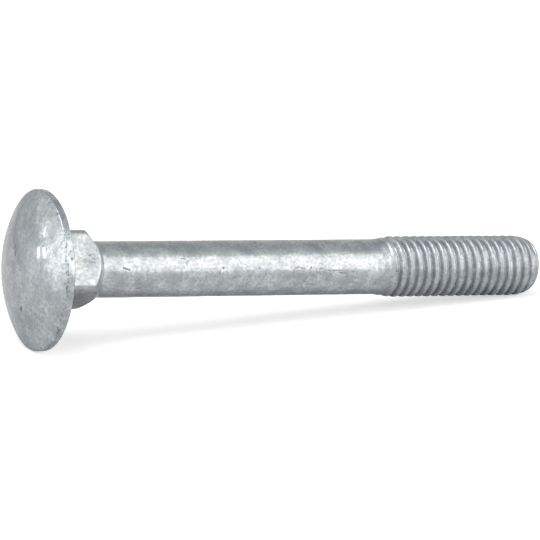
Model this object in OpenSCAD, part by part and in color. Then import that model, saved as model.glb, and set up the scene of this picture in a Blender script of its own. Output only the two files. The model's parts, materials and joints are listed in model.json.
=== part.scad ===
// Carriage bolt, M12 x 100, hot-dip galvanised steel.
// A mushroom head with a plain rim, a square neck that runs out in a cone, a reduced
// round shank and a right-hand thread, all forged and rolled from one bar.
//
// The bolt lies as it comes to rest on a flat surface at z = 0: on the rim of its head and
// on a crest near the tip of its thread. Its axis stays in the XZ plane, the head at -X.
// Inside the modules the bolt is drawn on its own axis, +Z toward the thread end, with the
// bearing face of the head at z = 0. Local +X then looks down in the finished pose.

/* [Head] */
// Diameter of the head over its rim
head_d = 29.3; // [27:0.1:31]
// Height of the head from the bearing face to the top of the dome
head_h = 6; // [4:0.1:8]
// Height of the plain rim under the dome
rim_h = 1.55; // [1:0.05:2.4]
// Rounding of the rim where it meets the bearing face
rim_round = 0.35; // [0.1:0.05:0.8]

/* [Neck] */
// Width of the square neck across its flats
neck_w = 11.8; // [11.6:0.1:12.7]
// Length of the square neck, from the bearing face to the end of its flats
neck_len = 9; // [5:0.1:12]
// Rounding of the four long corners of the neck
neck_round = 1.1; // [0.5:0.1:2.5]
// Slope of the cone that ends the neck, against the axis
neck_cone_angle = 50; // [35:1:60]
// How far the near flat looks up from the horizontal
neck_turn = 33.5; // [0:0.5:89.5]

/* [Shank] */
// Diameter of the plain shank, near the pitch diameter of the thread
shank_d = 10.4; // [9.8:0.05:10.9]
// Length of the bolt from the bearing face to the end of the thread
bolt_len = 100.6; // [80:0.1:140]

/* [Thread] */
// Crest diameter of the thread, undersized for the zinc coat
thread_d = 11.5; // [11.3:0.05:12]
// Pitch of the thread
pitch = 1.75; // [1.5:0.05:2]
// Depth of the thread from crest to root
thread_depth = 0.96; // [0.8:0.02:1.1]
// Width of the crest, which the zinc has filled out
crest_w = 0.42; // [0.2:0.02:0.5]
// Included angle between the flanks
flank_angle = 60; // [50:1:60]
// Length of the threaded end with its run-out, measured back from the tip
thread_len = 33.6; // [26:0.1:45]
// Turns over which the thread grows out of the shank to its full form
runout_turns = 2.3; // [0.5:0.1:4]
// Turn of the helix about the axis, which sets where the crests lie
helix_turn = 152; // [0:1:359]

/* [Tip] */
// Length over which the tip is rounded
tip_len = 4.9; // [2:0.1:7]
// Diameter of the flat end face
tip_d = 8.4; // [6:0.1:9]

/* [Hidden] */

// Segments of the round surfaces, and of each turn of the thread
$fn = 96;
turn_steps = 36;
// Length over which pieces of the bolt run into each other
fuse = 0.6;
// How steeply the hidden start of the thread dips into the shank
seat_slope = 0.25;
// Turn of the head about its axis. A mesh of its rim has a flat every 4.5 degrees, and half
// of that puts a flat on the floor, where the bolt rests, and not the edge between two.
head_turn = 2.25;

head_r = head_d / 2;
shank_r = shank_d / 2;
thread_r = thread_d / 2;
tip_r = tip_d / 2;

// The dome is a cap of a sphere that meets the rim at its upper edge
dome_h = head_h - rim_h;
dome_r = (head_r * head_r + dome_h * dome_h) / (2 * dome_h);
dome_centre = dome_r - head_h;

// The cone that ends the neck cuts the middle of each flat at neck_len
neck_reach = neck_w * sqrt(2) / 2;
cone_start = neck_len - (neck_reach - neck_w / 2) / tan(neck_cone_angle);
cone_end = neck_len + (neck_w / 2 - shank_r) / tan(neck_cone_angle);

// One groove: its width at the crests, down each flank and at the root
groove_w = pitch - crest_w;
flank_w = thread_depth * tan(flank_angle / 2);
root_w = groove_w - 2 * flank_w;

// One pitch of the thread from the middle of its crest, as [place along the axis, depth]
thread_form = [
    [-crest_w / 2, 0],
    [crest_w / 2, 0],
    [crest_w / 2 + flank_w, thread_depth],
    [crest_w / 2 + flank_w + root_w, thread_depth]
];

// Where the thread begins and is full, and where the tip begins
thread_start = bolt_len - thread_len;
runout_len = runout_turns * pitch;
tip_start = bolt_len - tip_len;

// Radius that the rounded tip leaves at a place along the axis
function tip_limit_r(z) =
    let (into_tip = max(0, (z - tip_start) / tip_len))
    tip_r + (thread_r - tip_r) * sqrt(max(0, 1 - into_tip * into_tip));

// Radius of the thread at a place along the axis, for a given depth of its form. Rolling
// raises the crests above the shank and sinks the roots below it. Ahead of its start the
// thread dips into the shank.
function thread_surface_r(z, depth) =
    let (grown = min(1, max(0, (z - thread_start) / runout_len)))
    let (dip = seat_slope * max(0, thread_start - z))
    min(tip_limit_r(z), shank_r - dip + grown * (thread_r - depth - shank_r));

// Angle of the axis over the floor if the bolt rests on its rim and on one point below
// the axis, and the least such angle over all the crests, which is how it comes to rest
function tilt_on(z, r) =
    let (reach = z + rim_round)
    let (drop = head_r - rim_round - r)
    atan2(drop, reach) + asin(rim_round / norm([reach, drop]));
crest_edges = [
    for (z = [thread_start - pitch * helix_turn / 360 : pitch : bolt_len])
        if (z > thread_start) z + crest_w / 2
];
tilt = min([for (z = crest_edges) tilt_on(z, thread_surface_r(z, 0))]);
axis_height = (head_r - rim_round) * cos(tilt) + rim_round * (1 - sin(tilt));

// Ends of the bolt along X, so that the origin lies under its middle
low_x = dome_centre * cos(tilt) - dome_r;
high_x = bolt_len * cos(tilt) + tip_r * sin(tilt);

// The mushroom head: half its section, turned about the axis
module head() {
    rotate_extrude() {
        intersection() {
            translate([0, dome_centre])
                circle(r = dome_r);
            translate([0, -head_h])
                square([head_r, dome_h]);
        }
        translate([0, -rim_h])
            square([head_r, rim_h - rim_round]);
        translate([0, -rim_h])
            square([head_r - rim_round, rim_h]);
        translate([head_r - rim_round, -rim_round])
            circle(r = rim_round);
    }
}

// A square bar with rounded corners, from inside the head to the end of the cone
module neck_bar() {
    straight = neck_w - 2 * neck_round;
    translate([0, 0, -fuse])
        linear_extrude(height = fuse + cone_end) {
            square([neck_w, straight], center = true);
            square([straight, neck_w], center = true);
            for (x = [-1, 1], y = [-1, 1])
                translate([x * straight / 2, y * straight / 2])
                    circle(r = neck_round);
        }
}

// The neck: its bar, with its end cut off by a cone
module square_neck() {
    intersection() {
        rotate([0, 0, -neck_turn])
            neck_bar();
        union() {
            translate([0, 0, -fuse])
                cylinder(r = neck_reach, h = fuse + cone_start);
            translate([0, 0, cone_start])
                cylinder(r1 = neck_reach, r2 = shank_r, h = cone_end - cone_start);
        }
    }
}

module plain_shank() {
    cylinder(r = shank_r, h = thread_start);
}

// The threaded end. Its rows of points climb one pitch in each turn. A row ends in the ring
// of points that is seated in the shank, or in the ring around the end face.
module threaded_end() {
    form_n = len(thread_form);
    seat = thread_start - fuse;
    seat_angle = helix_turn - 360 * fuse / pitch;
    // One turn below the seat, and two past the end face for the last one to join
    turns = ceil((bolt_len - seat) / pitch) + 3;
    rows = turns * form_n;
    steps = [0:turn_steps - 1];
    seat_ring = rows * turn_steps;
    face_ring = seat_ring + turn_steps;

    function row_z(row, step) =
        seat + thread_form[row % form_n][0] + pitch * (floor(row / form_n) - 1 + step / turn_steps);
    function ring_point(z, r, step) =
        let (a = seat_angle + 360 * step / turn_steps)
        [r * cos(a), r * sin(a), z];
    function thread_point(row, step) =
        let (z = row_z(row, step))
        ring_point(z, thread_surface_r(z, thread_form[row % form_n][1]), step);
    function index(row, step) =
        step == turn_steps ? index(row + form_n, 0)
        : row_z(row, step) <= seat ? seat_ring + step
        : row_z(row, step) >= bolt_len ? face_ring + step
        : row * turn_steps + step;
    function is_triangle(t) = t[0] != t[1] && t[1] != t[2] && t[2] != t[0];

    points = [
        for (row = [0:rows - 1], step = steps) thread_point(row, step),
        for (step = steps) ring_point(seat, thread_surface_r(seat, 0), step),
        for (step = steps) ring_point(bolt_len, tip_r, step)
    ];
    triangles = [
        for (row = [0:rows - form_n - 2], step = steps)
            let (a = index(row, step))
            let (b = index(row, step + 1))
            let (c = index(row + 1, step + 1))
            let (d = index(row + 1, step))
            for (t = [[a, c, b], [a, d, c]])
                if (is_triangle(t)) t
    ];
    seat_face = [for (step = steps) seat_ring + step];
    end_face = [for (step = [turn_steps - 1:-1:0]) face_ring + step];
    polyhedron(points = points, faces = concat(triangles, [seat_face, end_face]));
}

module carriage_bolt() {
    color("silver")
        translate([-(low_x + high_x) / 2, 0, axis_height])
            rotate([0, 90 + tilt, 0]) {
                rotate([0, 0, head_turn])
                    head();
                square_neck();
                plain_shank();
                threaded_end();
            }
}

carriage_bolt();
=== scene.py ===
"""Looks of the carriage bolt: hot-dip galvanised steel with a rolled thread.

The bolt is one forging, so one piece stands for the one CAD node. It is modelled on its own
axis in millimetres, +Z toward the thread end and the bearing face of the head at z = 0, as
in the part's source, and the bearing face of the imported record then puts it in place.
"""

import json
import math
import random

import bmesh
import bpy
from mathutils import Matrix, Quaternion, Vector, kdtree, noise


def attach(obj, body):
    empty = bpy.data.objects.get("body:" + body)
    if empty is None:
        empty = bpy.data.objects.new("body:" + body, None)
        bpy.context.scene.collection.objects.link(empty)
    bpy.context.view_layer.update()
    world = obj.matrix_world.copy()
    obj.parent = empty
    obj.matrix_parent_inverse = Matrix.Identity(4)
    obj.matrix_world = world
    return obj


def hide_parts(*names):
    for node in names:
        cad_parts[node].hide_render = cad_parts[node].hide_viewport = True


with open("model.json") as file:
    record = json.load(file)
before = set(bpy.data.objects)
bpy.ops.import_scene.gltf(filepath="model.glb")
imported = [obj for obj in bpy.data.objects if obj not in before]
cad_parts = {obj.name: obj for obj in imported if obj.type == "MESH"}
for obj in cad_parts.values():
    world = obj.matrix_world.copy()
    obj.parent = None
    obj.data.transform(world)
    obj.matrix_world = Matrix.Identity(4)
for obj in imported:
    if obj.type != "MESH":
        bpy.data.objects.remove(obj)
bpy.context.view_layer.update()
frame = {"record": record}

MM = 0.001
TAU = 2 * math.pi

# Sizes of the bolt in millimetres, as in the part's source
HEAD_R = 29.3 / 2
HEAD_H = 6.0
RIM_H = 1.55
RIM_ROUND = 0.35
NECK_HALF = 11.8 / 2
NECK_LEN = 9.0
NECK_CONE = math.radians(50)
NECK_TURN = math.radians(33.5)
SHANK_R = 10.4 / 2
BOLT_LEN = 100.6
THREAD_R = 11.5 / 2
PITCH = 1.75
THREAD_DEPTH = 0.96
THREAD_START = BOLT_LEN - 33.6
HELIX_TURN = math.radians(152)
TIP_LEN = 4.9
TIP_R = 8.4 / 2

# The dome is a cap of a sphere, and the cone of the neck runs down to the shank
DOME_H = HEAD_H - RIM_H
DOME_R = (HEAD_R**2 + DOME_H**2) / (2 * DOME_H)
DOME_CENTRE = DOME_R - HEAD_H
CONE_END = NECK_LEN + (NECK_HALF - SHANK_R) / math.tan(NECK_CONE)

# How finely the piece is cut about the axis
HEAD_STEPS = 288
BAR_STEPS = 144
# Rows of faces on the dome, the rim, its round edge, the bearing face, the neck's foot and
# one form of the thread
DOME_ROWS = 46
RIM_ROWS = 4
ROUND_ROWS = 4
BEARING_ROWS = 9
FOOT_ROWS = 5
FORM_ROWS = 14
# Lengths of a row on the neck and the shank
ROW_ON_NECK = 0.26
ROW_ON_SHANK = 0.38

# Zinc rounds each corner of the steel: the edge of the dome, the neck's edges, its foot in
# the head, the end of its cone and the tip
ZINC_ON_DOME_EDGE = 0.15
ZINC_ON_NECK = 0.16
ZINC_IN_CORNERS = 0.4
ZINC_AT_SHANK = 0.6
ZINC_ON_TIP = 0.1
# How much wider the zinc leaves the crests than the roots: 1 is a plain wave
CREST_FILL = 1.6
# Lengths over which the crests grow out of the shank, and over which the grooves follow
CREST_RISE = 3.6
GROOVE_DELAY = 0.8
GROOVE_RISE = 2.6

# Rounding where two flats of the neck meet. It is finer than in the plain solid, because the
# cuts below take most of the corners off
NECK_ROUND = 0.5
# The forging dies left the long corners of the neck short, and one of them slopes away.
# Each cut is a plane across a corner: its direction, reach at the head, fall and rounding
CORNER_CUTS = (
    (math.radians(11.5), 8.1, 0.0, 1.2),
    (math.radians(101.5), 7.72, 0.0, 0.16),
    (math.radians(191.5), 7.72, 0.0, 0.16),
    (math.radians(281.5), 8.1, 0.0, 1.2),
    (math.radians(191.5), 16.15, 1.19, 0.16),
)
# A plane cuts only where the cosine of the angle to it is over this
FACING_CUT = 0.3
# How much the flats fall away from their middle to the corners
FLAT_CROWN = 0.1

# The bar was sheared a little aslant, so one side of the tip is shorter
SHEAR_DEPTH = 0.4
SHEAR_TOWARD = math.radians(50)

# The uneven flow of the zinc, as the depth and size of broad, middling and fine lumps
BROAD_LUMPS = (0.05, 4.5)
MIDDLING_LUMPS = (0.045, 1.7)
FINE_LUMPS = (0.014, 0.7)
# How much smoother the rolled thread and the dome are
THREAD_SMOOTHER = 0.5
DOME_SMOOTHER = 0.84

# Marks of the zinc bath and of handling: degrees about the axis from the floor side toward
# the back, place, length along the axis and around it, reach, depth and darkness
MARKS = [
    # Scratches and a smudge in the dome
    (179.0, -5.73, -0.21, 1.0, 0.26, 0.06, 1.00),
    (336.0, -5.05, 0.04, 0.60, 0.42, 0.06, 0.80),
    (335.0, -4.20, 0.15, 0.10, 0.60, 0.02, 0.12),
    (335.0, -3.45, 0.15, 0.30, 0.60, 0.02, 0.14),
    # Pits of the rim
    (244.8, -0.87, 0.0, 0.0, 0.26, 0.05, 0.60),
    (250.5, -0.72, 0.1, 0.2, 0.26, 0.06, 0.65),
    (272.2, -1.62, 0.1, 1.0, 0.22, 0.08, 0.70),
    (305.0, -1.45, 0.2, 0.5, 0.26, 0.08, 0.60),
    # Scratches and pits of the shank
    (258.4, 14.30, 0.8, 0.35, 0.20, 0.04, 0.75),
    (256.6, 13.75, 0.4, 0.10, 0.18, 0.04, 0.60),
    (300.4, 17.10, 0.7, 0.0, 0.18, 0.03, 0.60),
    (258.4, 33.56, 0.1, 0.1, 0.24, 0.06, 0.70),
    (266.8, 32.80, -0.1, 0.5, 0.19, 0.05, 0.65),
    (259.6, 31.70, 0.1, 0.1, 0.22, 0.03, 0.45),
    (192.5, 41.55, 0.1, 0.1, 0.26, 0.07, 0.85),
    (244.0, 26.30, 0.3, -0.6, 0.18, 0.03, 0.40),
    (236.0, 25.60, 0.7, 0.1, 0.18, 0.03, 0.40),
    (249.0, 27.40, 0.1, 0.8, 0.18, 0.03, 0.30),
    (260.5, 40.80, 0.0, 0.2, 0.22, 0.03, 0.50),
    (259.5, 48.60, 0.7, -0.2, 0.22, 0.03, 0.40),
    (260.0, 49.90, 0.8, 0.15, 0.22, 0.03, 0.45),
    (259.4, 51.45, 0.0, 0.3, 0.22, 0.03, 0.50),
    (261.0, 53.60, 0.6, -0.2, 0.20, 0.03, 0.40),
    (266.0, 55.40, 0.5, 0.05, 0.18, 0.03, 0.35),
    (266.5, 56.60, 0.9, -0.1, 0.18, 0.03, 0.45),
    (270.5, 57.80, 0.6, 0.15, 0.20, 0.04, 0.55),
    (271.5, 58.70, 0.7, 0.10, 0.18, 0.03, 0.40),
    (268.6, 60.30, 0.1, 0.1, 0.20, 0.03, 0.50),
    (288.0, 50.40, 0.1, 0.1, 0.22, 0.03, 0.45),
    (296.0, 52.20, 0.2, 0.1, 0.22, 0.03, 0.45),
    (294.0, 65.40, 0.1, 0.1, 0.24, 0.03, 0.45),
    (283.0, 62.10, 0.3, 0.2, 0.20, 0.03, 0.35),
    (290.0, 43.80, 0.4, -0.1, 0.22, 0.03, 0.35),
    # Pits of the thread and its tip
    (268.0, 69.35, 0.1, 0.1, 0.22, 0.05, 0.75),
    (262.2, 71.05, 0.1, 0.1, 0.22, 0.05, 0.70),
    (283.2, 70.10, 0.1, 0.1, 0.20, 0.03, 0.50),
    (304.7, 97.64, 0.1, 0.1, 0.28, 0.06, 0.70),
]

# Small pits strewn along the edge between the dome and the rim, where the zinc runs thin:
# from and to in degrees, and their number
STREWN_PITS = ((236, 262, 20), (262, 300, 9), (300, 338, 14), (188, 236, 12), (338, 548, 22))
strew = random.Random(12)
for start, end, number in STREWN_PITS:
    for _ in range(number):
        where = strew.uniform(start, end), strew.gauss(-RIM_H - 0.05, 0.2)
        size = strew.uniform(0.0, 0.2), strew.uniform(0.13, 0.25), strew.uniform(0.03, 0.09)
        MARKS.append((*where, strew.uniform(-0.1, 0.1), *size, strew.uniform(0.2, 0.75)))

# Broad hollows of the forging: degrees about the axis, place, reach and depth
HOLLOWS = ((143, -3.2, 7.5, 0.26), (228, -0.6, 3.0, 0.05))

# Patches where the zinc froze rough, and one broad patch of painted shade on the dome toward the
# floor: degrees about the axis, place, reach and strength
ROUGH_AND_SHADE_PATCHES = (
    (240, 6.4, 2.6, 0.70),
    (336, -3.6, 3.0, 0.50),
    (158, -1.9, 4.0, 0.30),
    (205, -1.9, 3.0, 0.45),
    (266, 55.0, 7.0, 0.34),
    (262, 47.0, 4.0, 0.28),
    (300, 16.0, 6.0, 0.30),
    (290, 44.0, 5.0, 0.25),
    (205, 67.5, 1.8, 0.55),
    # Painted shade: this broad patch darkens the dome toward the floor with dull spots
    (345, -3.9, 7.0, 0.40),
    (215, -2.6, 3.4, 0.36),
)

# Zinc froze rough along the rim, most of all within a reach of its edge with the dome
RIM_ROUGH = 0.34
EDGE_REACH = 0.34

# Where one part of the piece is joined to the next
HEAD_HOLE_R = 9.2
FINE_ROWS_END = CONE_END + 0.5
BAR_END = THREAD_START - 0.5
THREAD_FROM = THREAD_START - 0.15
THREAD_TO = BOLT_LEN - 0.3
# Rings that draw the tip on from there: short of its end, and then shares of its end face
TIP_RINGS = (0.14, 0.04, 0)
FACE_RINGS = (0.94, 0.78, 0.56, 0.34, 0.14)
# Points nearer than this are one
NEAR = 0.002


# Drawing the metal


def new_vert(bm, x, z):
    return bm.verts.new((x, 0, z))


def run_on(bm, vert, x, z, pieces=1):
    """Draws a straight run of edges on from a point of a section, and returns its end."""
    start, end = vert.co.copy(), Vector((x, 0, z))
    for piece in range(1, pieces + 1):
        vert = bmesh.ops.extrude_vert_indiv(bm, verts=[vert])["verts"][0]
        vert.co = start.lerp(end, piece / pieces)
    return vert


def arc_on(bm, vert, centre, angle, pieces):
    """Draws an arc on from a point of a section, about a centre in its plane."""
    made = bmesh.ops.spin(
        bm,
        geom=[vert],
        cent=(centre[0], 0, centre[1]),
        axis=(0, 1, 0),
        angle=angle,
        steps=pieces,
        use_merge=False,
        use_duplicate=False,
    )
    return [item for item in made["geom_last"] if isinstance(item, bmesh.types.BMVert)][0]


def turn_section(bm, steps):
    """Turns a drawn section about the bolt's axis into a closed skin."""
    bmesh.ops.spin(
        bm,
        geom=bm.verts[:] + bm.edges[:],
        cent=(0, 0, 0),
        axis=(0, 0, 1),
        angle=TAU,
        steps=steps,
        use_merge=True,
        use_duplicate=False,
    )
    bmesh.ops.remove_doubles(bm, verts=bm.verts, dist=NEAR)


def head_skin():
    """The dome, the plain rim and the bearing face, open where the neck goes on."""
    bm = bmesh.new()
    dome_angle = math.asin(HEAD_R / DOME_R)
    vert = new_vert(bm, 0, -HEAD_H)
    vert = arc_on(bm, vert, (0, DOME_CENTRE), -dome_angle, DOME_ROWS)
    vert = run_on(bm, vert, HEAD_R, -RIM_ROUND, RIM_ROWS)
    vert = arc_on(bm, vert, (HEAD_R - RIM_ROUND, -RIM_ROUND), -math.pi / 2, ROUND_ROWS)
    run_on(bm, vert, HEAD_HOLE_R, 0, BEARING_ROWS)
    turn_section(bm, HEAD_STEPS)
    edge_ring = [
        edge
        for edge in bm.edges
        if all(abs(v.co.z + RIM_H) < NEAR and v.co.xy.length > HEAD_R - NEAR for v in edge.verts)
    ]
    bmesh.ops.bevel(
        bm,
        geom=edge_ring,
        offset=ZINC_ON_DOME_EDGE,
        offset_type="OFFSET",
        segments=3,
        profile=0.5,
        affect="EDGES",
        material=-1,
    )
    refine_at_marks(bm)
    return bm


def bar_skin():
    """The square neck and the plain shank, drawn round and then pressed to their shape."""
    bm = bmesh.new()
    vert = new_vert(bm, NECK_HALF, 0)
    vert = run_on(bm, vert, NECK_HALF, ZINC_IN_CORNERS, FOOT_ROWS)
    neck_rows = round((FINE_ROWS_END - ZINC_IN_CORNERS) / ROW_ON_NECK)
    shank_rows = round((BAR_END - FINE_ROWS_END) / ROW_ON_SHANK)
    vert = run_on(bm, vert, NECK_HALF, FINE_ROWS_END, neck_rows)
    run_on(bm, vert, NECK_HALF, BAR_END, shank_rows)
    turn_section(bm, BAR_STEPS)
    for vert in bm.verts:
        set_radius(vert, bar_radius(vert))
    refine_at_marks(bm)
    for vert in bm.verts:
        set_radius(vert, bar_radius(vert))
    return bm


def thread_skin():
    """The threaded end: a run of its forms, swept up one pitch in a turn and cut off square."""
    bm = bmesh.new()
    half_pitch = PITCH / 2
    steps = FORM_ROWS // 2
    form = [half_pitch * step / steps for step in range(1 - steps, steps + 1)]
    crest = THREAD_START - PITCH * HELIX_TURN / TAU
    while crest + half_pitch > THREAD_FROM - PITCH:
        crest -= PITCH
    vert = new_vert(bm, THREAD_R, crest - half_pitch)
    while crest - half_pitch < THREAD_TO:
        for place in form:
            vert = run_on(bm, vert, THREAD_R, crest + place)
        crest += PITCH
    bmesh.ops.spin(
        bm,
        geom=bm.verts[:] + bm.edges[:],
        cent=(0, 0, 0),
        axis=(0, 0, 1),
        dvec=(0, 0, PITCH / BAR_STEPS),
        angle=TAU,
        steps=BAR_STEPS,
        use_merge=False,
        use_duplicate=False,
    )
    bmesh.ops.remove_doubles(bm, verts=bm.verts, dist=0.01)
    for place, keeps_above in ((THREAD_FROM, True), (THREAD_TO, False)):
        bmesh.ops.bisect_plane(
            bm,
            geom=bm.verts[:] + bm.edges[:] + bm.faces[:],
            dist=0.0001,
            plane_co=(0, 0, place),
            plane_no=(0, 0, 1),
            clear_inner=keeps_above,
            clear_outer=not keeps_above,
        )
    bmesh.ops.remove_doubles(bm, verts=bm.verts, dist=0.004)
    for vert in bm.verts:
        set_radius(vert, thread_radius(vert))
    close_tip(bm)
    return bm


def close_tip(bm):
    """Rounds the tip on from the open end of the thread, and closes its flat end face."""
    ring = open_ring(bm, THREAD_TO)
    rings = [(BOLT_LEN - short, tip_radius(BOLT_LEN - short)) for short in TIP_RINGS]
    rings += [(BOLT_LEN, TIP_R * share) for share in FACE_RINGS]
    for place, radius in rings:
        made = bmesh.ops.extrude_edge_only(bm, edges=ring)["geom"]
        for vert in made:
            if isinstance(vert, bmesh.types.BMVert):
                set_radius(vert, radius)
                vert.co.z = place
        ring = [item for item in made if isinstance(item, bmesh.types.BMEdge) and item.is_boundary]
    middle = list(dict.fromkeys(vert for edge in ring for vert in edge.verts))
    bmesh.ops.pointmerge(bm, verts=middle, merge_co=(0, 0, BOLT_LEN))


def set_radius(vert, radius):
    flat = vert.co.xy
    vert.co.xy = flat * (radius / flat.length)


def angle_of(vert):
    return math.atan2(vert.co.y, vert.co.x)


def soft_min(a, b, width):
    """The lesser of two sizes, with the corner between them rounded over a width."""
    mix = max(width - abs(a - b), 0) / width
    return min(a, b) - mix * mix * width / 4


def soft_max(a, b, width):
    return -soft_min(-a, -b, width)


def square_radius(angle):
    """Radius of the neck's rounded and slightly crowned square in a direction."""
    from_flat = abs((angle + NECK_TURN + math.pi / 4) % (math.pi / 2) - math.pi / 4)
    straight = NECK_HALF - NECK_ROUND
    crown = FLAT_CROWN * math.tan(from_flat) ** 2
    if NECK_HALF * math.tan(from_flat) <= straight:
        return NECK_HALF / math.cos(from_flat) - crown
    middle = straight * (math.cos(from_flat) + math.sin(from_flat))
    return middle + math.sqrt(middle**2 - 2 * straight**2 + NECK_ROUND**2) - crown


def bar_radius(vert):
    """Radius of the neck, its cone, its foot in the head, and the shank."""
    place = vert.co.z
    cone = SHANK_R + (CONE_END - place) * math.tan(NECK_CONE)
    angle = angle_of(vert)
    radius = soft_min(square_radius(angle), cone, ZINC_ON_NECK)
    for direction, reach, fall, rounding in CORNER_CUTS:
        across = math.cos(angle - direction)
        if across > FACING_CUT:
            radius = soft_min(radius, (reach - fall * place) / across, rounding)
    radius = soft_max(radius, SHANK_R, ZINC_AT_SHANK)
    if place < ZINC_IN_CORNERS:
        radius += ZINC_IN_CORNERS - math.sqrt(ZINC_IN_CORNERS**2 - (ZINC_IN_CORNERS - place) ** 2)
    return radius


def tip_radius(place):
    """Radius that the rounded tip leaves at a place along the axis."""
    into_tip = max(0, min(1, (place - BOLT_LEN + TIP_LEN) / TIP_LEN))
    return TIP_R + (THREAD_R - TIP_R) * math.sqrt(1 - into_tip**2)


def ramp(value, start, length):
    """Rises softly from 0 to 1 over a length."""
    share = max(0, min(1, (value - start) / length))
    return share * share * (3 - 2 * share)


def thread_radius(vert):
    """Radius of the thread: round, zinc-filled crests that grow out of the shank.

    The crests rise first, and the grooves between them deepen soon after.
    """
    place = vert.co.z
    turns = (place - THREAD_START) / PITCH - (angle_of(vert) - HELIX_TURN) / TAU
    from_crest = 2 * abs((turns + 0.5) % 1 - 0.5)
    depth = THREAD_DEPTH * (0.5 - 0.5 * math.cos(math.pi * from_crest**CREST_FILL))
    depth *= ramp(place, THREAD_START + GROOVE_DELAY, GROOVE_RISE)
    grown = max(0, min(1, (place - THREAD_START) / CREST_RISE))
    crest = SHANK_R + (THREAD_R - SHANK_R) * grown
    return soft_min(tip_radius(place), crest - depth, ZINC_ON_TIP)


def open_ring(bm, place, least=0.0, most=99.0):
    """The open edges at a place along the axis, between two radii."""
    return [
        edge
        for edge in bm.edges
        if edge.is_boundary
        and all(abs(v.co.z - place) < NEAR and least < v.co.xy.length < most for v in edge.verts)
    ]


def join_skins(skins):
    """One closed skin out of the head, the bar and the threaded end."""
    bm = bmesh.new()
    for skin in skins:
        mesh = bpy.data.meshes.new("skin")
        skin.to_mesh(mesh)
        skin.free()
        bm.from_mesh(mesh)
        bpy.data.meshes.remove(mesh)
    foot_r = NECK_HALF * math.sqrt(2) + ZINC_IN_CORNERS
    head_ring = open_ring(bm, 0, HEAD_HOLE_R - NEAR, HEAD_HOLE_R + NEAR)
    neck_ring = open_ring(bm, 0, 0, foot_r)
    bmesh.ops.bridge_loops(bm, edges=head_ring + [e for e in neck_ring if e not in set(head_ring)])
    bmesh.ops.bridge_loops(bm, edges=open_ring(bm, BAR_END) + open_ring(bm, THREAD_FROM))
    bmesh.ops.recalc_face_normals(bm, faces=bm.faces)
    return bm


# Wear, as the zinc bath and handling leave it


def cloudy(point, size):
    """Soft noise from 0 to 1 with lumps of about a size in millimetres."""
    return max(0, min(1, 0.5 + 0.5 * noise.noise(point / size)))


def zinc_lumps(bm):
    """The uneven flow of the zinc: every point sinks a little, and never rises."""
    bm.normal_update()
    moves = []
    for vert in bm.verts:
        point = vert.co
        flow = Vector((point.x, point.y, point.z * 0.6))
        uneven = 1 - THREAD_SMOOTHER * ramp(point.z, THREAD_START, 3)
        uneven -= DOME_SMOOTHER * ramp(-point.z, 1.2, 0.8)
        depth = BROAD_LUMPS[0] * (0.5 + 0.5 * uneven) * cloudy(flow, BROAD_LUMPS[1])
        apart = flow + Vector((31, 7, 0))
        depth += MIDDLING_LUMPS[0] * uneven * cloudy(apart, MIDDLING_LUMPS[1])
        apart = point + Vector((3, 50, 0))
        depth += FINE_LUMPS[0] * uneven * cloudy(apart, FINE_LUMPS[1])
        moves.append((vert, vert.normal * depth))
    for vert, move in moves:
        vert.co -= move


def shear_tip(bm):
    """Sets the end face aslant by drawing the tip back on one side."""
    for vert in bm.verts:
        into_tip = (vert.co.z - BOLT_LEN + TIP_LEN) / TIP_LEN
        if into_tip > 0:
            side = 0.5 + 0.5 * vert.co.xy.length / TIP_R * math.cos(angle_of(vert) - SHEAR_TOWARD)
            vert.co.z -= SHEAR_DEPTH * max(0, side) * into_tip**2


def on_bolt(degrees, place):
    """A point near the bolt's surface, from its angle about the axis and its place."""
    angle = math.radians(degrees)
    if place < -RIM_H:
        radius = math.sqrt(DOME_R**2 - (place - DOME_CENTRE) ** 2)
    elif place < 0:
        radius = HEAD_R
    elif place < NECK_LEN:
        radius = square_radius(angle)
    else:
        radius = SHANK_R if place < THREAD_START + 1 else THREAD_R
    return Vector((radius * math.cos(angle), radius * math.sin(angle), place))


def mark_ends(mark):
    """The two ends of a mark's middle line."""
    degrees, place, along, around = mark[:4]
    turn = math.degrees(around / 2 / on_bolt(degrees, place).xy.length)
    ends = (degrees - turn, place - along / 2), (degrees + turn, place + along / 2)
    return [on_bolt(*end) for end in ends]


def from_line(point, ends):
    """How far a point is from a short line."""
    start, run = ends[0], ends[1] - ends[0]
    share = (point - start).dot(run) / run.length_squared if run.length_squared else 0
    return (point - start - run * max(0, min(1, share))).length


def points_by_place(places):
    tree = kdtree.KDTree(len(places))
    for index, place in enumerate(places):
        tree.insert(place, index)
    tree.balance()
    return tree


def refine_at_marks(bm):
    """Cuts the faces around each mark finer, so that a narrow one keeps its shape."""
    edges = bm.edges[:]
    tree = points_by_place([(edge.verts[0].co + edge.verts[1].co) / 2 for edge in edges])
    chosen = set()
    for mark in MARKS:
        ends = mark_ends(mark)
        reach = mark[4] + 0.2
        span = (ends[1] - ends[0]).length / 2 + reach
        for co, index, _ in tree.find_range((ends[0] + ends[1]) / 2, span):
            if from_line(co, ends) < reach:
                chosen.add(index)
    near_marks = [edges[index] for index in sorted(chosen)]
    bmesh.ops.subdivide_edges(bm, edges=near_marks, cuts=2, use_grid_fill=True)


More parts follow.
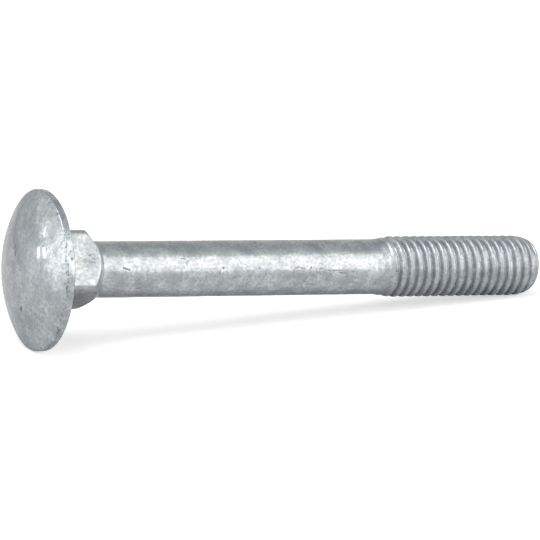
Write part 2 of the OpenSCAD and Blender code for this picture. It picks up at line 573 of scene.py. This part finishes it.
def press_marks(bm):
    """Sinks the marks and hollows, and notes how dark, how rough, how dull and how shaded each
    point is.

    The rolled thread is duller than the rest. The dome toward the floor is darker too, as painted
    shade.
    """
    dark = bm.verts.layers.float.new("pits")
    rough_and_shade = bm.verts.layers.float.new("rough_zinc_and_shade")
    dull_and_floor_shade = bm.verts.layers.float.new("dull_and_floor_shade")
    bm.normal_update()
    verts = bm.verts[:]
    tree = points_by_place([vert.co for vert in verts])
    sunk = {}
    for mark in MARKS:
        _, _, _, _, reach, depth, darkness = mark
        ends = [tree.find(end)[0] for end in mark_ends(mark)]
        span = (ends[1] - ends[0]).length / 2 + reach
        for co, index, _ in tree.find_range((ends[0] + ends[1]) / 2, span):
            share = max(0, 1 - (from_line(co, ends) / reach) ** 2)
            sunk[index] = max(sunk.get(index, 0), depth * share**2)
            uneven = 0.4 + 1.1 * cloudy(co + Vector((5, 8, 1)), 0.45)
            verts[index][dark] = max(verts[index][dark], darkness * share * min(1, uneven))
    for degrees, place, reach, depth in HOLLOWS:
        for _, index, distance in tree.find_range(on_bolt(degrees, place), reach):
            sunk[index] = sunk.get(index, 0) + depth * (1 - (distance / reach) ** 2) ** 2
    for degrees, place, reach, strength in ROUGH_AND_SHADE_PATCHES:
        for _, index, distance in tree.find_range(on_bolt(degrees, place), reach):
            share = 1 - (distance / reach) ** 2
            verts[index][rough_and_shade] = max(verts[index][rough_and_shade], strength * share)
    for vert in verts:
        toward_floor = 0.5 + 0.5 * vert.co.x / HEAD_R
        vert[dull_and_floor_shade] = 0.5 * ramp(vert.co.z, THREAD_START - 1, 2.5)
        # Painted shade: the side of the dome toward the floor is darkened
        vert[dull_and_floor_shade] += 0.5 * toward_floor * ramp(-vert.co.z, 0, RIM_H)
        if -RIM_H - 0.6 < vert.co.z < 0 and vert.co.xy.length > HEAD_R - 1.2:
            edge = max(0, 1 - abs(vert.co.z + RIM_H + 0.03) / EDGE_REACH)
            patchy = cloudy(vert.co + Vector((9, 2, 4)), 2.4)
            vert[rough_and_shade] = max(vert[rough_and_shade], RIM_ROUGH, edge * (0.4 + 0.5 * patchy))
    for index, depth in sunk.items():
        verts[index].co -= verts[index].normal * depth


def build_bolt():
    bm = join_skins([head_skin(), bar_skin(), thread_skin()])
    press_marks(bm)
    zinc_lumps(bm)
    shear_tip(bm)
    for face in bm.faces:
        face.smooth = True
    seat = next(m for m in frame["record"]["mounts"] if m["name"] == "bearing_face")
    along = Vector(seat["axis"])
    turn = Matrix.Rotation(math.atan2(along.x, along.z), 4, "Y")
    bmesh.ops.transform(
        bm,
        matrix=Matrix.Translation(Vector(seat["pos_m"])) @ turn @ Matrix.Scale(MM, 4),
        verts=bm.verts,
    )
    mesh = bpy.data.meshes.new("galvanised_bolt")
    bm.to_mesh(mesh)
    bm.free()
    bolt = bpy.data.objects.new("galvanised_bolt", mesh)
    bpy.context.scene.collection.objects.link(bolt)
    return bolt


# Materials


def colour(hex_value):
    """A colour written as an sRGB hex value, turned to linear."""

    def linear(channel):
        return channel / 12.92 if channel <= 0.04045 else ((channel + 0.055) / 1.055) ** 2.4

    parts = [int(hex_value[i : i + 2], 16) / 255 for i in (1, 3, 5)]
    return tuple(linear(part) for part in parts) + (1.0,)


def node(tree, kind, settings=None, links=None):
    """Adds a node, with its settings by property or socket name, and its linked inputs."""
    made = tree.nodes.new(kind)
    for name, value in (settings or {}).items():
        if isinstance(name, str) and hasattr(made, name):
            setattr(made, name, value)
        else:
            made.inputs[name].default_value = value
    for name, source in (links or {}).items():
        tree.links.new(source, made.inputs[name])
    return made


def per_metre(size_mm):
    """Scale of a pattern on coordinates in metres whose parts are a size in millimetres."""
    return 1 / (size_mm * MM)


def galvanised_zinc():
    """Hot-dip galvanised zinc, run off and air cooled.

    A metal skin, cloudy and light bluish grey. Its fine crystals differ in gloss, so that a
    highlight has a wide, speckled edge, and the clear film of oxide over them mirrors the
    windows small and sharp. The rolled thread is duller, the dome toward the floor is darkened
    as painted shade, and pits hold dark oxide.
    """
    material = bpy.data.materials.new("hot_dip_galvanised_zinc")
    material.use_nodes = True
    tree = material.node_tree
    shader = tree.nodes["Principled BSDF"]
    shader.inputs["Metallic"].default_value = 1.0
    shader.inputs["Coat IOR"].default_value = 1.7
    shader.inputs["Coat Roughness"].default_value = 0.06
    place = node(tree, "ShaderNodeTexCoord").outputs["Object"]

    # Clouds of the zinc are 1 to 4 mm across, and its flow drew them out along the bolt
    clouds = node(
        tree,
        "ShaderNodeTexNoise",
        {"Scale": per_metre(2.6), "Detail": 5.0, "Roughness": 0.6},
        {"Vector": place},
    )
    along = node(tree, "ShaderNodeMapping", {"Scale": (0.3, 1.0, 1.0)}, {"Vector": place})
    flow = node(
        tree,
        "ShaderNodeTexNoise",
        {"Scale": per_metre(0.9), "Detail": 4.0, "Roughness": 0.6},
        {"Vector": along.outputs[0]},
    )
    # Crystals are about half a millimetre, and the grain in them half of that
    crystals = node(
        tree,
        "ShaderNodeTexNoise",
        {"Scale": per_metre(0.55), "Detail": 3.0, "Roughness": 0.6},
        {"Vector": place},
    )
    grain = node(
        tree,
        "ShaderNodeTexNoise",
        {"Scale": per_metre(0.26), "Detail": 2.0, "Roughness": 0.6},
        {"Vector": place},
    )
    cloud_share = node(
        tree,
        "ShaderNodeMapRange",
        {"From Min": 0.38, "From Max": 0.62},
        {"Value": clouds.outputs["Fac"]},
    )
    flow_share = node(
        tree,
        "ShaderNodeMapRange",
        {"From Min": 0.36, "From Max": 0.54, "To Min": 0.5, "To Max": 0.0},
        {"Value": flow.outputs["Fac"]},
    )
    crystal_share = node(
        tree,
        "ShaderNodeMapRange",
        {"From Min": 0.36, "From Max": 0.56, "To Min": 0.65, "To Max": 0.0},
        {"Value": crystals.outputs["Fac"]},
    )
    cloudy_zinc = node(
        tree,
        "ShaderNodeMix",
        {"data_type": "RGBA", 6: colour("#B0B7BC"), 7: colour("#DADFE1")},
        {0: cloud_share.outputs["Result"]},
    )
    flowing_zinc = node(
        tree,
        "ShaderNodeMix",
        {"data_type": "RGBA", 7: colour("#A6ACB1")},
        {0: flow_share.outputs["Result"], 6: cloudy_zinc.outputs[2]},
    )
    body = node(
        tree,
        "ShaderNodeMix",
        {"data_type": "RGBA", 7: colour("#979DA2")},
        {0: crystal_share.outputs["Result"], 6: flowing_zinc.outputs[2]},
    )

    # The rolled thread is a shade darker, and the dome toward the floor is darkened as painted
    # shade
    dull_and_floor_shade = node(tree, "ShaderNodeAttribute", {"attribute_name": "dull_and_floor_shade"})
    dull_and_shade_share = node(
        tree,
        "ShaderNodeMath",
        {"operation": "MULTIPLY", 1: 0.42},
        {0: dull_and_floor_shade.outputs["Fac"]},
    )
    shaded = node(
        tree,
        "ShaderNodeMix",
        {"data_type": "RGBA", 7: colour("#8A9094")},
        {0: dull_and_shade_share.outputs[0], 6: body.outputs[2]},
    )

    # Where the zinc froze rough, spots of dull grey oxide break it up. On the dome toward the
    # floor the same spots are painted shade
    rough_and_shade = node(tree, "ShaderNodeAttribute", {"attribute_name": "rough_zinc_and_shade"})
    specks = node(
        tree,
        "ShaderNodeTexNoise",
        {"Scale": per_metre(0.4), "Detail": 3.0, "Roughness": 0.7},
        {"Vector": place},
    )
    level = node(
        tree,
        "ShaderNodeMapRange",
        {"From Min": 0.0, "From Max": 1.0, "To Min": 0.74, "To Max": 0.40},
        {"Value": rough_and_shade.outputs["Fac"]},
    )
    over = node(
        tree,
        "ShaderNodeMath",
        {"operation": "SUBTRACT"},
        {0: specks.outputs["Fac"], 1: level.outputs["Result"]},
    )
    spots = node(
        tree,
        "ShaderNodeMapRange",
        {"From Min": 0.0, "From Max": 0.14, "To Min": 0.0, "To Max": 0.55},
        {"Value": over.outputs[0]},
    )
    pits = node(tree, "ShaderNodeAttribute", {"attribute_name": "pits"})
    dull_and_shade = node(
        tree,
        "ShaderNodeMath",
        {"operation": "MAXIMUM"},
        {0: spots.outputs["Result"], 1: pits.outputs["Fac"]},
    )
    surface = node(
        tree,
        "ShaderNodeMix",
        {"data_type": "RGBA", 7: colour("#4A4A4A")},
        {0: dull_and_shade.outputs[0], 6: shaded.outputs[2]},
    )

    # The crystals are satin, some more than others, and the duller parts scatter more
    satin = node(
        tree,
        "ShaderNodeMapRange",
        {"From Min": 0.38, "From Max": 0.62, "To Min": 0.44, "To Max": 0.30},
        {"Value": crystals.outputs["Fac"]},
    )
    duller = node(
        tree,
        "ShaderNodeMath",
        {"operation": "MULTIPLY_ADD", 1: 0.2},
        {0: dull_and_floor_shade.outputs["Fac"], 2: satin.outputs["Result"]},
    )
    gloss = node(
        tree,
        "ShaderNodeMath",
        {"operation": "MULTIPLY_ADD", 1: 0.3, "use_clamp": True},
        {0: dull_and_shade.outputs[0], 2: duller.outputs[0]},
    )
    # The film of oxide is clear where the zinc ran smooth
    film = node(
        tree,
        "ShaderNodeMath",
        {"operation": "MULTIPLY_ADD", 1: -1.2, 2: 1.0, "use_clamp": True},
        {0: rough_and_shade.outputs["Fac"]},
    )
    clear_film = node(
        tree,
        "ShaderNodeMath",
        {"operation": "MULTIPLY_ADD", 1: -0.6, "use_clamp": True},
        {0: dull_and_floor_shade.outputs["Fac"], 2: film.outputs[0]},
    )
    relief = node(
        tree,
        "ShaderNodeMath",
        {"operation": "ADD"},
        {0: grain.outputs["Fac"], 1: crystals.outputs["Fac"]},
    )
    pitted = node(
        tree,
        "ShaderNodeMath",
        {"operation": "SUBTRACT"},
        {0: relief.outputs[0], 1: dull_and_shade.outputs[0]},
    )
    lift = node(
        tree,
        "ShaderNodeBump",
        {"Strength": 0.5, "Distance": 0.045 * MM},
        {"Height": pitted.outputs[0]},
    )
    tree.links.new(surface.outputs[2], shader.inputs["Base Color"])
    tree.links.new(gloss.outputs[0], shader.inputs["Roughness"])
    tree.links.new(clear_film.outputs[0], shader.inputs["Coat Weight"])
    tree.links.new(lift.outputs["Normal"], shader.inputs["Normal"])
    return material


def pale_floor():
    """Matt pale paper: it looks white to the camera and takes a soft shadow."""
    material = bpy.data.materials.new("matt_pale_paper")
    material.use_nodes = True
    tree = material.node_tree
    shader = tree.nodes["Principled BSDF"]
    shader.inputs["Base Color"].default_value = colour("#E9E9E9")
    shader.inputs["Roughness"].default_value = 0.9
    shader.inputs["Specular IOR Level"].default_value = 0.0
    rays = node(tree, "ShaderNodeLightPath")
    lift = node(
        tree,
        "ShaderNodeMath",
        {"operation": "MULTIPLY", 1: 0.58},
        {0: rays.outputs["Is Camera Ray"]},
    )
    white = node(
        tree,
        "ShaderNodeEmission",
        {"Color": colour("#FFFFFF")},
        {"Strength": lift.outputs[0]},
    )
    both = node(tree, "ShaderNodeAddShader", None, {0: shader.outputs[0], 1: white.outputs[0]})
    tree.links.new(both.outputs[0], tree.nodes["Material Output"].inputs["Surface"])
    return material


# The studio


# The room as the metal mirrors it, by the sine of the elevation: a pale backdrop, a warmer
# band over it and a dimmer ceiling
ROOM = (
    (0.0, colour("#BABEC0")),
    (0.3, colour("#C3C6C6")),
    (0.5, colour("#BBB6AF")),
    (0.75, colour("#A5AAAD")),
)


# Distance of the lamps from the bolt and half the width of the floor, in metres
LAMP_DISTANCE = 1.4
FLOOR_HALF = 2.5

# The photograph's view: azimuth and elevation of the camera, the point that it looks at and
# its distance in millimetres, and its lens over a sensor of 36 mm. The report says how they
# were found
VIEW_AZIMUTH = math.radians(-26.05)
VIEW_ELEVATION = math.radians(13.12)
VIEW_CENTRE = Vector((-1.588, 0.456, 9.814))
VIEW_DISTANCE = 757.34
LENS = 272.8
SENSOR = 36


def make_world():
    """A white background to the camera, the room to the metal, and a little plain light."""
    world = bpy.data.worlds.new("studio")
    bpy.context.scene.world = world
    world.use_nodes = True
    tree = world.node_tree
    out = tree.nodes["World Output"]
    rays = node(tree, "ShaderNodeLightPath")
    direction = node(tree, "ShaderNodeTexCoord")
    height = node(tree, "ShaderNodeSeparateXYZ", None, {0: direction.outputs["Generated"]})
    room = node(tree, "ShaderNodeValToRGB", None, {0: height.outputs["Z"]})
    room.color_ramp.elements.remove(room.color_ramp.elements[1])
    room.color_ramp.elements[0].color = ROOM[0][1]
    for place, tone in ROOM[1:]:
        room.color_ramp.elements.new(place).color = tone
    mirrored = node(
        tree,
        "ShaderNodeMath",
        {"operation": "MAXIMUM"},
        {0: rays.outputs["Is Glossy Ray"], 1: rays.outputs["Is Transmission Ray"]},
    )
    plain = node(
        tree,
        "ShaderNodeMix",
        {"data_type": "RGBA", 6: colour("#404040")},
        {0: mirrored.outputs[0], 7: room.outputs[0]},
    )
    seen = node(
        tree,
        "ShaderNodeMix",
        {"data_type": "RGBA", 7: colour("#FFFFFF")},
        {0: rays.outputs["Is Camera Ray"], 6: plain.outputs[2]},
    )
    light = node(tree, "ShaderNodeBackground", {"Strength": 1.0}, {"Color": seen.outputs[2]})
    tree.links.new(light.outputs[0], out.inputs["Surface"])


def toward(azimuth, elevation):
    """A direction from the bolt: azimuth from +X toward +Y, elevation over the floor."""
    a, e = math.radians(azimuth), math.radians(elevation)
    return Vector((math.cos(a) * math.cos(e), math.sin(a) * math.cos(e), math.sin(e)))


def soft_light(name, azimuth, elevation, wide, high, brightness, tint="#FFFFFF", lean=0):
    """A rectangular light of a wide and high angle in degrees; brightness 1 is white.

    It leans by an angle in degrees, its top toward a lower azimuth.
    """
    lamp = bpy.data.lights.new(name, "AREA")
    lamp.shape = "RECTANGLE"
    lamp.size = 2 * LAMP_DISTANCE * math.tan(math.radians(wide / 2))
    lamp.size_y = 2 * LAMP_DISTANCE * math.tan(math.radians(high / 2))
    lamp.energy = brightness * math.pi * lamp.size * lamp.size_y
    lamp.color = colour(tint)[:3]
    holder = bpy.data.objects.new(name, lamp)
    way = toward(azimuth, elevation)
    holder.location = way * LAMP_DISTANCE
    facing = way.to_track_quat("Z", "Y") @ Quaternion((0, 0, 1), math.radians(lean))
    holder.rotation_euler = facing.to_euler()
    holder.visible_camera = False
    bpy.context.scene.collection.objects.link(holder)


def make_camera():
    back = Vector(
        (
            math.sin(VIEW_AZIMUTH) * math.cos(VIEW_ELEVATION),
            -math.cos(VIEW_AZIMUTH) * math.cos(VIEW_ELEVATION),
            math.sin(VIEW_ELEVATION),
        )
    )
    data = bpy.data.cameras.new("camera")
    data.sensor_width = SENSOR
    data.lens = LENS
    data.clip_start = 0.01
    camera = bpy.data.objects.new("camera", data)
    camera.location = (VIEW_CENTRE + VIEW_DISTANCE * back) * MM
    camera.rotation_euler = back.to_track_quat("Z", "Y").to_euler()
    bpy.context.scene.collection.objects.link(camera)
    bpy.context.scene.camera = camera


def make_floor():
    bm = bmesh.new()
    bmesh.ops.create_grid(bm, x_segments=4, y_segments=4, size=FLOOR_HALF)
    mesh = bpy.data.meshes.new("floor")
    bm.to_mesh(mesh)
    bm.free()
    floor = bpy.data.objects.new("floor", mesh)
    mesh.materials.append(pale_floor())
    bpy.context.scene.collection.objects.link(floor)


make_camera()
make_world()
make_floor()
# Broad soft lamps light the bolt from the right of the camera, beyond the head, the left of
# the camera, above and behind. The dome mirrors the three small windows as white spots
soft_light("key", -44, 25, 62, 50, 1.5, "#FFFBF5")
soft_light("left", 188, 12, 52, 40, 1.3)
soft_light("front_left", 234, 22, 40, 50, 1.15)
soft_light("above", 208, 72, 42, 44, 3.3)
soft_light("wall", 145, 31, 44, 18, 0.5)
soft_light("window_left", 149.5, 8.2, 2.6, 6.5, 8.5, lean=41)
soft_light("window_right", 155.5, 9.5, 2.8, 6.5, 8.5, lean=41)
soft_light("window_upper", 147, 19.3, 2.4, 4.5, 8.0, lean=27)

bolt = build_bolt()
bolt.data.materials.append(galvanised_zinc())
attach(bolt, "root")
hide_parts("carriage_bolt")

bpy.context.scene.view_settings.view_transform = "Standard"
